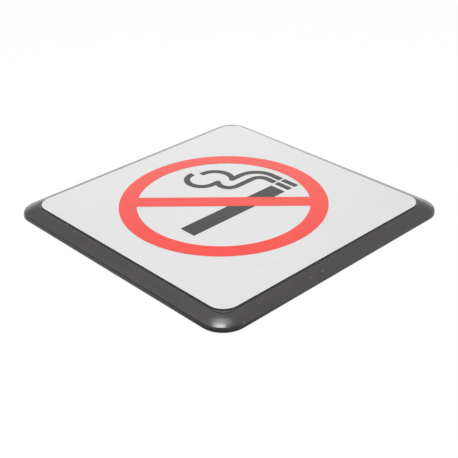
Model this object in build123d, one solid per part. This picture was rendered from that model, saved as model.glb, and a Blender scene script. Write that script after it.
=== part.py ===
from build123d import *
import math
import os

# Square "no smoking" door sign: a brushed metal plate in a moulded plastic surround.
# It lies on its back: +Z out of the face, +X to the reader's right, +Y up the sign.
# The origin is the middle of the back, on the surface that the sign is stuck to. All sizes in mm.

# Plate
PLATE_SIDE = 100.0
PLATE_THICK = 1.0
PLATE_CORNER = 5.9
PLATE_EDGE_BEVEL = 0.05

# Surround
BORDER = 5.85             # plate's edge to the surround's outer edge
OUTER_CORNER = 8.9
RIM_HEIGHT = 3.6          # foot to the lip beside the plate
LIP_WIDTH = 0.2           # flat lip around the recess
LIP_STEP = 0.2            # lip down to the start of the slope
SIDE_HEIGHT = 1.35        # foot to where slope and side would meet
SIDE_DRAFT = 10.0         # degrees, the side leans in towards the top
SLOPE_RISE = 0.3          # how far the slope bows out of its chord
SHOULDER_RADIUS = 0.8
FOOT_RADIUS = 0.15
WEB_THICK = 1.3           # floor between the recess and the back pocket
SLOPE_WALL = 1.3          # plastic kept under the slope
FOOT_WIDTH = 1.5

# Fits
PLATE_GAP = 0.2           # around the plate in its recess
PLATE_PROUD = 0.4         # plate's face above the lip
GLUE_THICK = 0.1
GLUE_INSET = 1.0          # glue film back from the plate's edge

# Back
PAD_MARGIN = 8.0          # foam pad's edge in from the plate's edge
PAD_CORNER = 4.0
PAD_PROUD = 0.2           # pad and liner stand out below the foot
LINER_THICK = 0.1
LINER_OVERHANG = 0.4
RIB_GAP = 0.6             # pad to the rib that frames it
RIB_THICK = 1.0
RIB_HEIGHT = 1.1
RIBS_PER_SIDE = 5

# Print, measured from the middle of the ring
INK_THICK = 0.05
PRINT_X = -0.8
PRINT_Y = 1.5
RING_RADIUS = 38.2
RING_WIDTH = 6.5
BAR_WIDTH = 6.8
BAR_ANGLE = -45.0         # from top left to bottom right
CIG_TOP = -3.55
CIG_WIDTH = 7.0
CIG_CLEAR = 5.4           # lower left corner of the cigarette to the ring
EMBER_CLEAR = 1.1         # lower right corner of the last strip to the ring
EMBER_WIDTH = 2.2
EMBER_GAP = 1.75          # cigarette to the first strip
EMBER_PITCH = 3.45
SMOKE_GAP = 0.9           # strips to the foot of the smoke
SMOKE_WIDTH = 2.4
TIP_CUT = 1.45            # blunts the sharp turns of the smoke, along each edge

# Each line of smoke in its order from the strip: straight runs, and the radii of the turns between them
LOW_RISE = 4.15
LOW_BEND = 3.9
LOW_RUN = 8.2
LOW_TURN = 4.2
LOW_LEAN = 1.35
LOW_BACK = 2.4
LOW_ROUND = 5.9
HIGH_RISE = 5.25
HIGH_BEND = 8.25
HIGH_RUN = 4.5
HIGH_LEAN = 0.8
HIGH_ROUND = 6.8

# Steps of each line: a run, then a turn in degrees (left is positive) on a radius, where 0 is a sharp turn
LOW_SMOKE = (
    (LOW_RISE, 90, LOW_BEND),
    (LOW_RUN, -120, LOW_TURN),
    (LOW_LEAN, 120, 0),
    (LOW_BACK, -184, LOW_ROUND),
)
HIGH_SMOKE = (
    (HIGH_RISE, 90, HIGH_BEND),
    (HIGH_RUN, -125, 0),
    (HIGH_LEAN, 129, HIGH_ROUND),
)

# Worked out: heights above the surface behind the sign, and half sizes
FOOT_Z = PAD_PROUD
LIP_Z = FOOT_Z + RIM_HEIGHT
FACE_Z = LIP_Z + PLATE_PROUD
PLATE_Z = FACE_Z - PLATE_THICK
RECESS_Z = PLATE_Z - GLUE_THICK
POCKET_Z = RECESS_Z - WEB_THICK
PLATE_HALF = PLATE_SIDE / 2
RECESS_HALF = PLATE_HALF + PLATE_GAP
OUTER_HALF = PLATE_HALF + BORDER
PAD_HALF = PLATE_HALF - PAD_MARGIN
SLOPE_TOP = (RECESS_HALF + LIP_WIDTH, LIP_Z - LIP_STEP)
SLOPE_FOOT = (OUTER_HALF - SIDE_HEIGHT * math.tan(math.radians(SIDE_DRAFT)), FOOT_Z + SIDE_HEIGHT)
SLOPE_ANGLE = math.atan2(SLOPE_TOP[1] - SLOPE_FOOT[1], SLOPE_FOOT[0] - SLOPE_TOP[0])

# Worked out: places in the print
RING_INNER = RING_RADIUS - RING_WIDTH
CIG_FOOT = CIG_TOP - CIG_WIDTH
CIG_LEFT = -math.sqrt((RING_INNER - CIG_CLEAR) ** 2 - CIG_FOOT ** 2)
SECOND_EMBER = math.sqrt((RING_INNER - EMBER_CLEAR) ** 2 - CIG_FOOT ** 2) - EMBER_WIDTH / 2
FIRST_EMBER = SECOND_EMBER - EMBER_PITCH
CIG_RIGHT = FIRST_EMBER - EMBER_WIDTH / 2 - EMBER_GAP


def slab(half, corner, low, high):
    """Square plate with rounded corners between two heights."""
    outline = Pos(0, 0, low) * RectangleRounded(2 * half, 2 * half, corner)
    return extrude(outline, high - low)


def rim_section():
    """The surround cut across one side, from the centre line of its corner arcs outwards."""
    axis = OUTER_HALF - OUTER_CORNER
    bow = (
        (SLOPE_TOP[0] + SLOPE_FOOT[0]) / 2 + SLOPE_RISE * math.sin(SLOPE_ANGLE),
        (SLOPE_TOP[1] + SLOPE_FOOT[1]) / 2 + SLOPE_RISE * math.cos(SLOPE_ANGLE),
    )
    foot = (OUTER_HALF, FOOT_Z)
    upper = Polyline((axis, FOOT_Z), (axis, LIP_Z), (SLOPE_TOP[0], LIP_Z), SLOPE_TOP)
    slope = ThreePointArc(SLOPE_TOP, bow, SLOPE_FOOT)
    lower = Polyline(SLOPE_FOOT, foot, (axis, FOOT_Z))
    section = make_face(Curve() + [upper, slope, lower])
    section = fillet(section.vertices().sort_by_distance((*SLOPE_FOOT, 0))[0], SHOULDER_RADIUS)
    return fillet(section.vertices().sort_by_distance((*foot, 0))[0], FOOT_RADIUS)


def rim_solid():
    """Four straight sides and four turned corners of the one section, around a flat middle."""
    reach = OUTER_HALF - OUTER_CORNER
    section = Rot(90, 0, 0) * rim_section()
    side = extrude(Pos(0, -reach, 0) * section, 2 * reach, dir=(0, 1, 0))
    corner = Pos(reach, reach, 0) * revolve(Pos(-reach, 0, 0) * section, Axis.Z, 90)
    solid = Pos(0, 0, (FOOT_Z + LIP_Z) / 2) * Box(2 * reach, 2 * reach, RIM_HEIGHT)
    for quarter in range(4):
        solid += Rot(0, 0, 90 * quarter) * (side + corner)
    return solid


def pocket():
    """Hollow of the back: its sloping wall keeps an even thickness under the surround's slope."""
    lowered = SLOPE_TOP[1] - SLOPE_WALL / math.cos(SLOPE_ANGLE)
    mouth = SLOPE_TOP[0] + (lowered - FOOT_Z) / math.tan(SLOPE_ANGLE)
    outline = Pos(0, 0, FOOT_Z) * RectangleRounded(2 * mouth, 2 * mouth, OUTER_CORNER - OUTER_HALF + mouth)
    cone = extrude(outline, POCKET_Z - FOOT_Z, taper=90 - math.degrees(SLOPE_ANGLE))
    return cone & slab(OUTER_HALF - FOOT_WIDTH, OUTER_CORNER - FOOT_WIDTH, FOOT_Z, POCKET_Z)


def ribs():
    """A rib that frames the foam pad, and short ribs from it to the pocket's wall."""
    inside = PAD_HALF + RIB_GAP
    low = POCKET_Z - RIB_HEIGHT
    frame = slab(inside + RIB_THICK, PAD_CORNER + RIB_GAP + RIB_THICK, low, POCKET_Z)
    frame -= slab(inside, PAD_CORNER + RIB_GAP, low, POCKET_Z)
    length = OUTER_HALF - inside - RIB_THICK / 2
    pitch = 2 * PAD_HALF / RIBS_PER_SIDE
    short = Box(length, RIB_THICK, RIB_HEIGHT, align=(Align.MIN, Align.CENTER, Align.MIN))
    for quarter in range(4):
        for place in range(RIBS_PER_SIDE):
            along = (place - (RIBS_PER_SIDE - 1) / 2) * pitch
            frame += Rot(0, 0, 90 * quarter) * Pos(inside + RIB_THICK / 2, along, low) * short
    return frame


def surround():
    """One moulding: sloping rim, recess for the plate, hollow ribbed back."""
    recess = slab(RECESS_HALF, PLATE_CORNER + PLATE_GAP, RECESS_Z, LIP_Z)
    return rim_solid() - recess - (pocket() - ribs())


def face_plate():
    """Metal plate with a fine bevel along its front edge."""
    plate = slab(PLATE_HALF, PLATE_CORNER, PLATE_Z, FACE_Z)
    return chamfer(plate.faces().sort_by(Axis.Z)[-1].edges(), PLATE_EDGE_BEVEL)


def plate_adhesive():
    """Film of glue between plate and recess."""
    return slab(PLATE_HALF - GLUE_INSET, PLATE_CORNER - GLUE_INSET, RECESS_Z, PLATE_Z)


def foam_pad():
    """Double-sided foam tape that holds the sign on its wall."""
    return slab(PAD_HALF, PAD_CORNER, LINER_THICK, POCKET_Z)


def release_liner():
    """Paper that covers the pad until the sign is put up."""
    return slab(PAD_HALF + LINER_OVERHANG, PAD_CORNER + LINER_OVERHANG, 0, LINER_THICK)


def printed(sketch):
    """Film of ink on the plate's face."""
    return extrude(Pos(PRINT_X, PRINT_Y, FACE_Z) * sketch, INK_THICK)


def bar():
    """Diagonal bar, as long as the ring is wide."""
    return Rot(0, 0, BAR_ANGLE) * Rectangle(2 * RING_RADIUS, BAR_WIDTH)


def ring_and_bar():
    """Red ring and bar in one field."""
    ring = Circle(RING_RADIUS) - Circle(RING_INNER)
    return printed(ring + (bar() & Circle(RING_RADIUS)))


def cigarette():
    """Body of the cigarette, which the bar cuts in two."""
    body = Pos(CIG_LEFT, CIG_TOP) * Rectangle(CIG_RIGHT - CIG_LEFT, CIG_WIDTH, align=(Align.MIN, Align.MAX))
    return printed(body - bar())


def ember_strips():
    """Two upright strips at the lit end."""
    strip = Rectangle(EMBER_WIDTH, CIG_WIDTH, align=(Align.CENTER, Align.MAX))
    return printed(Sketch() + [Pos(x, CIG_TOP) * strip for x in (FIRST_EMBER, SECOND_EMBER)])


def heading(degrees):
    """Unit vector in the plane of the print, anticlockwise from +X."""
    return Vector(math.cos(math.radians(degrees)), math.sin(math.radians(degrees)))


def square_end(point, way):
    """What lies beyond a line's square end."""
    return Pos(point) * Rot(0, 0, way) * Rectangle(SMOKE_WIDTH, 2 * SMOKE_WIDTH, align=(Align.MIN, Align.CENTER))


def smoke_line(x, steps):
    """Band of even width along the steps of one line of smoke."""
    start = Vector(x, CIG_TOP + SMOKE_GAP)
    point = start
    way = 90
    path = []
    tips = []
    for run, turn, radius in steps:
        straight = Line(point, point + heading(way) * run)
        path.append(straight)
        point = straight @ 1
        if radius:
            inward = way + math.copysign(90, turn)
            arc = CenterArc(point + heading(inward) * radius, radius, inward + 180, turn)
            path.append(arc)
            point = arc @ 1
        else:
            outward = (heading(way) - heading(way + turn)).normalized()
            tips.append(point + outward * SMOKE_WIDTH)
        way += turn
    band = Face(Wire(path).offset_2d(SMOKE_WIDTH / 2, Kind.INTERSECTION, Side.BOTH))
    for tip in tips:
        band = chamfer(band.vertices().sort_by_distance(tip)[0], TIP_CUT)
    return Sketch() + band - square_end(start, -90) - square_end(point, way)


def smoke_trails():
    """Both lines of smoke."""
    return printed(smoke_line(FIRST_EMBER, LOW_SMOKE) + smoke_line(SECOND_EMBER, HIGH_SMOKE))


os.makedirs("parts", exist_ok=True)
export_step(surround(), "parts/surround.step")
export_step(face_plate(), "parts/face_plate.step")
export_step(plate_adhesive(), "parts/plate_adhesive.step")
export_step(foam_pad(), "parts/foam_pad.step")
export_step(release_liner(), "parts/release_liner.step")
export_step(ring_and_bar(), "parts/ring_and_bar.step")
export_step(cigarette(), "parts/cigarette.step")
export_step(ember_strips(), "parts/ember_strips.step")
export_step(smoke_trails(), "parts/smoke_trails.step")
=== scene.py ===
import math

import bpy
from mathutils import Matrix, Quaternion, Vector


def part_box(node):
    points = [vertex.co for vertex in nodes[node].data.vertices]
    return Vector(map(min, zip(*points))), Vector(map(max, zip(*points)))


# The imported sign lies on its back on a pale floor: +Z out of the printed face, +X to the reader's right,
# +Y up the sign. Everything is in metres. The materials, the light and the camera are made here.
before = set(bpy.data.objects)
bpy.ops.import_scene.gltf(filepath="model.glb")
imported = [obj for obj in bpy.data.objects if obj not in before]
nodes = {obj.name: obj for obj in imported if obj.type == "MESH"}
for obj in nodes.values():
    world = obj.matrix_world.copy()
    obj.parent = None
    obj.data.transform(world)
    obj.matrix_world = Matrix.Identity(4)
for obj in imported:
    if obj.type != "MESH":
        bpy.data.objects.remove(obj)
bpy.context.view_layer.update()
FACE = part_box("face_plate")[1].z

# Camera
CAMERA_PLACE = (-0.21648, -0.23035, FACE + 0.17075)
CAMERA_HEADING = 46.751       # degrees from +X towards +Y
CAMERA_PITCH = -29.929
CAMERA_ROLL = -1.189
CAMERA_LENS = 77.39           # in mm, as the sensor is
CAMERA_SENSOR = 36
CAMERA_CLIP = 0.01

# Light, as radiance where a white surface in full light is 1
ROOM_ON_OBJECT = 0.3
KEY_ON_OBJECT = 0.76

NOISE_RANGE = (0.3, 0.7)      # nearly all of a noise lies between these
SPECK_EDGE = (0.35, 0.65)     # where a speck begins to fade and where it ends, as shares of its size


# Helpers

def toward(heading, height):
    """Direction by its heading from +X and its height above the floor, in degrees."""
    heading = math.radians(heading)
    height = math.radians(height)
    level = math.cos(height)
    return Vector((math.cos(heading) * level, math.sin(heading) * level, math.sin(height)))


def add(tree, kind, **settings):
    node = tree.nodes.new(kind)
    for name, value in settings.items():
        setattr(node, name, value)
    return node


def plug(tree, value, socket):
    """Links an output to the socket, or sets a plain number or colour on it."""
    if isinstance(value, bpy.types.NodeSocket):
        tree.links.new(value, socket)
    else:
        socket.default_value = value


def maths(tree, operation, a, b=0.0, clamp=False):
    node = add(tree, "ShaderNodeMath", operation=operation, use_clamp=clamp)
    plug(tree, a, node.inputs[0])
    plug(tree, b, node.inputs[1])
    return node.outputs[0]


def vector_maths(tree, operation, vector, fixed):
    """Number worked out from a vector and a fixed one, such as their distance."""
    node = add(tree, "ShaderNodeVectorMath", operation=operation)
    plug(tree, vector, node.inputs[0])
    node.inputs[1].default_value = fixed
    return node.outputs["Value"]


def ramp(tree, value, low, high, bottom=0.0, top=1.0, smooth=True):
    """Carries value from low..high to bottom..top, held at both ends."""
    node = add(tree, "ShaderNodeMapRange", interpolation_type="SMOOTHSTEP" if smooth else "LINEAR")
    plug(tree, value, node.inputs["Value"])
    for name, number in (("From Min", low), ("From Max", high), ("To Min", bottom), ("To Max", top)):
        node.inputs[name].default_value = number
    return node.outputs["Result"]


def spread(tree, value, bottom=0.0, top=1.0, smooth=True):
    """Carries a noise to bottom..top."""
    return ramp(tree, value, *NOISE_RANGE, bottom, top, smooth)


def mixed(tree, factor, a, b):
    """Colour a where factor is 0, b where it is 1."""
    node = add(tree, "ShaderNodeMix", data_type="RGBA")
    plug(tree, factor, node.inputs["Factor"])
    plug(tree, a, node.inputs["A"])
    plug(tree, b, node.inputs["B"])
    return node.outputs["Result"]


def place(tree, stretch=(1, 1, 1)):
    """Places on the object, each axis times its stretch."""
    where = add(tree, "ShaderNodeTexCoord").outputs["Object"]
    node = add(tree, "ShaderNodeMapping")
    plug(tree, where, node.inputs["Vector"])
    node.inputs["Scale"].default_value = stretch
    return node.outputs["Vector"]


def noise(tree, size, stretch=(1, 1, 1), detail=3.0, roughness=0.5):
    """Noise whose features are about size metres across, before the stretch."""
    node = add(tree, "ShaderNodeTexNoise")
    plug(tree, place(tree, stretch), node.inputs["Vector"])
    node.inputs["Scale"].default_value = 1 / size
    node.inputs["Detail"].default_value = detail
    node.inputs["Roughness"].default_value = roughness
    return node.outputs["Fac"]


def bumped(tree, height, depth, under=None):
    """Normal that follows height, 0 to 1, over a depth in metres."""
    node = add(tree, "ShaderNodeBump")
    plug(tree, height, node.inputs["Height"])
    node.inputs["Distance"].default_value = depth
    if under is not None:
        plug(tree, under, node.inputs["Normal"])
    return node.outputs["Normal"]


def speck(tree, at, size):
    """1 within an uneven spot about that size around a place on the object."""
    apart = vector_maths(tree, "DISTANCE", place(tree), at)
    edge = maths(tree, "MULTIPLY_ADD", noise(tree, size), size)
    edge.node.inputs[2].default_value = -size / 2
    start, end = SPECK_EDGE
    return ramp(tree, maths(tree, "ADD", apart, edge), start * size, end * size, 1.0, 0.0)


def new_material(name, roughness, metallic=0.0, ior=1.5):
    """Material, its tree and its shader. A roughness that varies is plugged in later, around this one."""
    mat = bpy.data.materials.new(name)
    mat.use_nodes = True
    shader = mat.node_tree.nodes["Principled BSDF"]
    shader.inputs["Roughness"].default_value = roughness
    shader.inputs["Metallic"].default_value = metallic
    shader.inputs["IOR"].default_value = ior
    return mat, mat.node_tree, shader


def dress(node, mat):
    nodes[node].data.materials.clear()
    nodes[node].data.materials.append(mat)


# Plate: aluminium brushed from left to right, in long thin streaks of two sizes

FINE_STREAKS = dict(size=0.00012, stretch=(0.02, 1, 1), detail=2.0)
LONG_STREAKS = dict(size=0.0005, stretch=(0.012, 1, 1), detail=2.0)
FINE_SHARE = 0.6
METAL_DARK = (0.76, 0.76, 0.762, 1)
METAL_LIGHT = (0.83, 0.83, 0.829, 1)
METAL_CLOUD = (0.72, 0.72, 0.725, 1)
METAL_CLOUD_SHARE = 0.12
METAL_STRETCH = 0.5           # how far the grain draws out a reflection across itself

# Two ends of a light fleck on the plate
FLECK = ((-0.0248, -0.0406), (-0.0242, -0.0413))
FLECK_SIZE = 0.001
FLECK_SHARE = 0.45
FLECK_COLOUR = (0.95, 0.95, 0.95, 1)


def grain(tree):
    fine = maths(tree, "MULTIPLY", noise(tree, **FINE_STREAKS), FINE_SHARE)
    long = maths(tree, "MULTIPLY", noise(tree, **LONG_STREAKS), 1 - FINE_SHARE)
    return maths(tree, "ADD", fine, long)


def brushed_metal():
    mat, tree, shader = new_material("brushed_aluminium", roughness=0.36, metallic=1.0)
    streaks = grain(tree)
    cloud = noise(tree, size=0.03, detail=2.0)
    tone = mixed(tree, spread(tree, streaks, smooth=False), METAL_DARK, METAL_LIGHT)
    tone = mixed(tree, ramp(tree, cloud, 0.35, 0.65, 0.0, METAL_CLOUD_SHARE), tone, METAL_CLOUD)
    for x, y in FLECK:
        light = maths(tree, "MULTIPLY", speck(tree, (x, y, FACE), FLECK_SIZE), FLECK_SHARE)
        tone = mixed(tree, light, tone, FLECK_COLOUR)
    plug(tree, tone, shader.inputs["Base Color"])
    plug(tree, spread(tree, streaks, 0.31, 0.41, smooth=False), shader.inputs["Roughness"])
    plug(tree, bumped(tree, streaks, depth=0.000004), shader.inputs["Normal"])
    shader.inputs["Anisotropic"].default_value = METAL_STRETCH
    along = add(tree, "ShaderNodeCombineXYZ")
    along.inputs["X"].default_value = 1.0
    plug(tree, along.outputs["Vector"], shader.inputs["Tangent"])
    return mat


# Print: each ink has a full colour and a pale one, for patchy ink and for painted reflection

# The pale colour of each ink stands for patchy ink and also for painted reflection
RED_THIN_AND_SHEEN = (1.0, 0.088, 0.068, 1)
RED_FULL = (1.0, 0.04, 0.024, 1)
BLACK_THIN_AND_SHEEN = (0.037, 0.032, 0.035, 1)
BLACK_FULL = (0.008, 0.004, 0.006, 1)
PAINTED_SHEEN_HEADING = 45             # painted reflection makes the ink paler this way, in degrees from +X
PAINTED_SHEEN_REACH = 0.038


def ink(name, thin_and_sheen, full):
    """Glossy screen ink over the plate's grain, paler here and there, and paler towards one corner as
    painted reflection.
    """
    mat, tree, shader = new_material(name, roughness=0.18)
    cover = noise(tree, size=0.004, detail=4.0)
    pits = noise(tree, size=0.0003, detail=2.0)
    # Painted reflection: the ink turns paler towards one corner
    across = vector_maths(tree, "DOT_PRODUCT", place(tree), toward(PAINTED_SHEEN_HEADING, 0))
    fade = ramp(tree, across, -PAINTED_SHEEN_REACH, PAINTED_SHEEN_REACH, 0.1, 0.9, smooth=False)
    pale = maths(tree, "ADD", fade, spread(tree, cover, -0.1, 0.1), clamp=True)
    plug(tree, mixed(tree, pale, full, thin_and_sheen), shader.inputs["Base Color"])
    plug(tree, spread(tree, pits, 0.15, 0.21, smooth=False), shader.inputs["Roughness"])
    under = bumped(tree, grain(tree), depth=0.0000015)
    plug(tree, bumped(tree, pits, 0.000003, under), shader.inputs["Normal"])
    return mat


# Surround: satin moulded plastic with some dust

PLASTIC_DARK = (0.0425, 0.038, 0.0405, 1)
PLASTIC_LIGHT = (0.0505, 0.046, 0.0485, 1)
DUST_COLOUR = (0.16, 0.145, 0.145, 1)
DUST_SIZE = 0.0007

# Each speck's place, and how much of the dust's colour it takes
DUST = (
    ((-0.0549, 0.0469, 0.002), 0.5),
    ((-0.0508, 0.0339, 0.0035), 0.4),
    ((-0.0513, 0.0241, 0.0034), 0.9),
    ((-0.051, 0.0158, 0.0035), 0.3),
    ((-0.0463, -0.0554, 0.0017), 0.7),
    ((-0.0369, -0.0525, 0.0031), 0.6),
    ((-0.0354, -0.052, 0.0032), 0.3),
    ((-0.0144, -0.0538, 0.0025), 0.5),
    ((-0.0091, -0.0539, 0.0025), 0.7),
)


def moulded_plastic():
    mat, tree, shader = new_material("black_plastic", roughness=0.19)
    cloud = noise(tree, size=0.012)
    tooth = noise(tree, size=0.00025, detail=2.0)
    flow = noise(tree, size=0.006, stretch=(1, 1, 0.3), detail=2.0)
    tone = mixed(tree, spread(tree, cloud), PLASTIC_DARK, PLASTIC_LIGHT)
    for at, share in DUST:
        grit = maths(tree, "MULTIPLY", speck(tree, at, DUST_SIZE), share)
        tone = mixed(tree, grit, tone, DUST_COLOUR)
    plug(tree, tone, shader.inputs["Base Color"])
    plug(tree, spread(tree, cloud, 0.16, 0.21), shader.inputs["Roughness"])
    wave = bumped(tree, flow, depth=0.00001)
    plug(tree, bumped(tree, tooth, 0.0000015, wave), shader.inputs["Normal"])
    return mat


# Back: foam tape, its paper liner, and the film of glue under the plate

FOAM_HOLLOW = (0.62, 0.62, 0.6, 1)
FOAM_WALL = (0.84, 0.84, 0.82, 1)
FOAM_CELL = 0.0004
PAPER_DARK = (0.8, 0.76, 0.62, 1)
PAPER_LIGHT = (0.87, 0.84, 0.72, 1)
PAPER_CLOUD = (0.82, 0.79, 0.68, 1)
PAPER_CLOUD_SHARE = 0.3
GLUE_DARK = (0.62, 0.6, 0.52, 1)
GLUE_LIGHT = (0.74, 0.72, 0.64, 1)


def foam():
    mat, tree, shader = new_material("white_foam", roughness=0.85)
    cells = add(tree, "ShaderNodeTexVoronoi", feature="SMOOTH_F1")
    plug(tree, place(tree), cells.inputs["Vector"])
    cells.inputs["Scale"].default_value = 1 / FOAM_CELL
    cell = cells.outputs["Distance"]
    plug(tree, mixed(tree, ramp(tree, cell, 0.1, 0.7), FOAM_HOLLOW, FOAM_WALL), shader.inputs["Base Color"])
    plug(tree, bumped(tree, cell, depth=0.0001), shader.inputs["Normal"])
    return mat


def liner_paper():
    mat, tree, shader = new_material("release_paper", roughness=0.4)
    fibre = noise(tree, size=0.0006, stretch=(0.3, 1, 1), detail=5.0, roughness=0.65)
    cloud = noise(tree, size=0.01, detail=2.0)
    tone = mixed(tree, spread(tree, fibre), PAPER_DARK, PAPER_LIGHT)
    tone = mixed(tree, spread(tree, cloud, 0.0, PAPER_CLOUD_SHARE), tone, PAPER_CLOUD)
    plug(tree, tone, shader.inputs["Base Color"])
    plug(tree, spread(tree, fibre, 0.34, 0.48), shader.inputs["Roughness"])
    plug(tree, bumped(tree, fibre, depth=0.00001), shader.inputs["Normal"])
    return mat


def glue_film():
    mat, tree, shader = new_material("glue_film", roughness=0.3, ior=1.47)
    swirl = noise(tree, size=0.003)
    plug(tree, mixed(tree, spread(tree, swirl), GLUE_DARK, GLUE_LIGHT), shader.inputs["Base Color"])
    plug(tree, bumped(tree, swirl, depth=0.00002), shader.inputs["Normal"])
    return mat


dress("face_plate", brushed_metal())
dress("surround", moulded_plastic())
dress("foam_pad", foam())
dress("release_liner", liner_paper())
dress("plate_adhesive", glue_film())
dress("ring_and_bar", ink("red_ink", RED_THIN_AND_SHEEN, RED_FULL))
black_ink = ink("black_ink", BLACK_THIN_AND_SHEEN, BLACK_FULL)
for node in ("cigarette", "ember_strips", "smoke_trails"):
    dress(node, black_ink)


# Floor

# Where it is seen or mirrored it glows, and its own dark paint takes the shadow. In the light that it throws
# on matt surfaces it is a plain grey
FLOOR_SIZE = 8
FLOOR_GREY = (0.3, 0.3, 0.3, 1)
FLOOR_PAINT = (0.16, 0.16, 0.16, 1)
FLOOR_GLOW = (0.85, 0.945)    # near the sign, and far away, where less light falls on the paint
FLOOR_GLOW_REACH = (0.4, 2.0)

# Painted shade: the mirrored floor is dimmer close to the sign's near corner
DIM_CENTRE = (-0.06, -0.06, 0)
DIM_REACH = (0.008, 0.035)
DIM_LEVEL = 0.25


def pale_floor():
    bpy.ops.mesh.primitive_plane_add(size=FLOOR_SIZE)
    floor = bpy.context.object
    floor.name = "floor"
    mat = bpy.data.materials.new("floor_white")
    mat.use_nodes = True
    tree = mat.node_tree
    tree.nodes.clear()
    path = add(tree, "ShaderNodeLightPath").outputs
    seen = maths(tree, "ADD", path["Is Camera Ray"], path["Is Glossy Ray"], clamp=True)
    seen = maths(tree, "ADD", seen, path["Is Transmission Ray"], clamp=True)
    away = vector_maths(tree, "DISTANCE", place(tree), DIM_CENTRE)
    # Painted shade on the mirrored floor around the sign's near corner
    dim = maths(tree, "MAXIMUM", ramp(tree, away, *DIM_REACH, DIM_LEVEL, 1.0), path["Is Camera Ray"])
    fill = ramp(tree, away, *FLOOR_GLOW_REACH, *FLOOR_GLOW, smooth=False)
    paint = add(tree, "ShaderNodeBsdfDiffuse")
    plug(tree, mixed(tree, seen, FLOOR_GREY, FLOOR_PAINT), paint.inputs["Color"])
    glow = add(tree, "ShaderNodeEmission")
    strength = maths(tree, "MULTIPLY", maths(tree, "MULTIPLY", seen, fill), dim)
    plug(tree, strength, glow.inputs["Strength"])
    both = add(tree, "ShaderNodeAddShader")
    plug(tree, paint.outputs[0], both.inputs[0])
    plug(tree, glow.outputs[0], both.inputs[1])
    plug(tree, both.outputs[0], add(tree, "ShaderNodeOutputMaterial").inputs["Surface"])
    floor.data.materials.append(mat)


pale_floor()


# Room

# It is dim white to matt surfaces and full white to the camera. Gloss picks up a little more than white,
# times each of the soft patches
ROOM_IN_GLOSS = 1.055

# Heading and height of a patch's middle in degrees, cosines of the angle from it where the patch ends and
# where it is full, and its level
PATCHES = (
    (CAMERA_HEADING + 180, 0, 0.35, 0.65, 0.05),
    (-72, 56, 0.92, 0.98, 0.3),
    (139, 8, 0.82, 0.95, 0.3),
    (-50, 12, 0.84, 0.95, 1.25),
    (0, 90, 0.36, 0.6, 0.9),
    (92, 36, 0.93, 0.985, 0.62),
    (113, 43, 0.96, 0.995, 1.15),
    (103, 60, 0.9, 0.98, 1.45),
    (15, 32, 0.93, 0.985, 0.8),
    (47, 14, 0.95, 0.99, 1.1),
)


def room():
    world = bpy.data.worlds.new("room")
    bpy.context.scene.world = world
    world.use_nodes = True
    tree = world.node_tree
    tree.nodes.clear()
    path = add(tree, "ShaderNodeLightPath").outputs
    way = add(tree, "ShaderNodeTexCoord").outputs["Generated"]
    mirrored = ROOM_IN_GLOSS
    for heading, height, end, full, level in PATCHES:
        cosine = vector_maths(tree, "DOT_PRODUCT", way, toward(heading, height))
        mirrored = maths(tree, "MULTIPLY", mirrored, ramp(tree, cosine, end, full, 1.0, level))
    strength = maths(tree, "MULTIPLY", path["Is Glossy Ray"], mirrored)
    strength = maths(tree, "ADD", strength, path["Is Camera Ray"])
    strength = maths(tree, "ADD", strength, path["Is Transmission Ray"])
    strength = maths(tree, "MAXIMUM", strength, ROOM_ON_OBJECT)
    back = add(tree, "ShaderNodeBackground")
    back.inputs["Color"].default_value = (1, 1, 1, 1)
    plug(tree, strength, back.inputs["Strength"])
    plug(tree, back.outputs[0], add(tree, "ShaderNodeOutputWorld").inputs["Surface"])
    world.cycles.sampling_method = "NONE"


room()


# Lamps

LAMP_DISTANCE = 1.5
KEY_HEIGHT = 78
KEY_WIDTH = 1.0
KEY_LENGTH = 1.2

# Lamps that only the surround's gloss picks up: name, direction, heading of the width, width, length,
# radiance, and whether it fades towards its edges
GLINTS = (
    ("near_glint", Vector((-0.17, 0.055, 0.98)), 305, 0.7, 0.3, 6.5, False),
    ("near_glint_core", Vector((-0.16, 0.0, 0.98)), 305, 0.44, 0.1, 14.2, False),
    ("near_glint_halo", Vector((0.012, 0.128, 0.99)), 305, 1.6, 1.0, 5.4, True),
    ("low_glint", toward(47, 6), 137, 2.2, 0.4, 0.4, False),
    ("far_glint", toward(42, 5), 132, 1.0, 0.5, 2.4, True),
    ("far_corner_glint", toward(47, 21), 137, 0.6, 0.3, 3.2, True),
)


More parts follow.
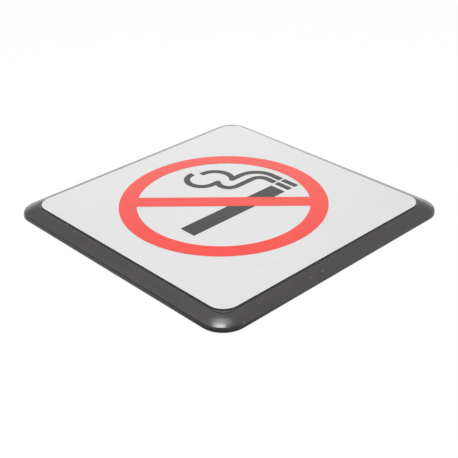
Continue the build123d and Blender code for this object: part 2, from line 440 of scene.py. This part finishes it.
def softbox(name, way, across, width, length, watts):
    """Rectangular lamp that faces the object. Its width lies along the heading across."""
    data = bpy.data.lights.new(name, "AREA")
    data.shape = "RECTANGLE"
    data.size = width
    data.size_y = length
    data.energy = watts
    lamp = bpy.data.objects.new(name, data)
    bpy.context.scene.collection.objects.link(lamp)
    back = way.normalized()
    side = toward(across, 0)
    side = (side - back * side.dot(back)).normalized()
    lamp.location = back * LAMP_DISTANCE
    lamp.rotation_mode = "QUATERNION"
    lamp.rotation_quaternion = Matrix((side, back.cross(side), back)).transposed().to_quaternion()
    return lamp


def feathered(lamp):
    """Lets the lamp fade from its middle to its edges."""
    lamp.data.use_nodes = True
    tree = lamp.data.node_tree
    spot = add(tree, "ShaderNodeNewGeometry").outputs["Parametric"]
    away = vector_maths(tree, "DISTANCE", spot, (0.5, 0.5, 0))
    plug(tree, ramp(tree, away, 0, 0.5, 1, 0), tree.nodes["Emission"].inputs["Strength"])


def light_object():
    """Key lamp, which lights a surface that faces it to KEY_ON_OBJECT."""
    watts = KEY_ON_OBJECT * (math.pi * LAMP_DISTANCE) ** 2
    way = toward(CAMERA_HEADING + 180, KEY_HEIGHT)
    key = softbox("key", way, CAMERA_HEADING + 90, KEY_WIDTH, KEY_LENGTH, watts)
    key.visible_glossy = False


def light_gloss():
    """Lamps of the table, for the surround's gloss alone."""
    on_plastic = bpy.data.collections.new("on_plastic")
    on_plastic.objects.link(nodes["surround"])
    for name, way, across, width, length, radiance, fades in GLINTS:
        lamp = softbox(name, way, across, width, length, radiance * width * length * math.pi)
        if fades:
            feathered(lamp)
        lamp.visible_diffuse = False
        lamp.light_linking.receiver_collection = on_plastic


light_object()
light_gloss()


# Camera

def aim_camera():
    data = bpy.data.cameras.new("camera")
    data.lens = CAMERA_LENS
    data.sensor_width = CAMERA_SENSOR
    data.clip_start = CAMERA_CLIP
    camera = bpy.data.objects.new("camera", data)
    bpy.context.scene.collection.objects.link(camera)
    forward = toward(CAMERA_HEADING, CAMERA_PITCH)
    camera.location = CAMERA_PLACE
    camera.rotation_mode = "QUATERNION"
    roll = Quaternion((0, 0, 1), math.radians(CAMERA_ROLL))
    camera.rotation_quaternion = forward.to_track_quat("-Z", "Y") @ roll
    bpy.context.scene.camera = camera


aim_camera()
bpy.context.scene.view_settings.view_transform = "Standard"
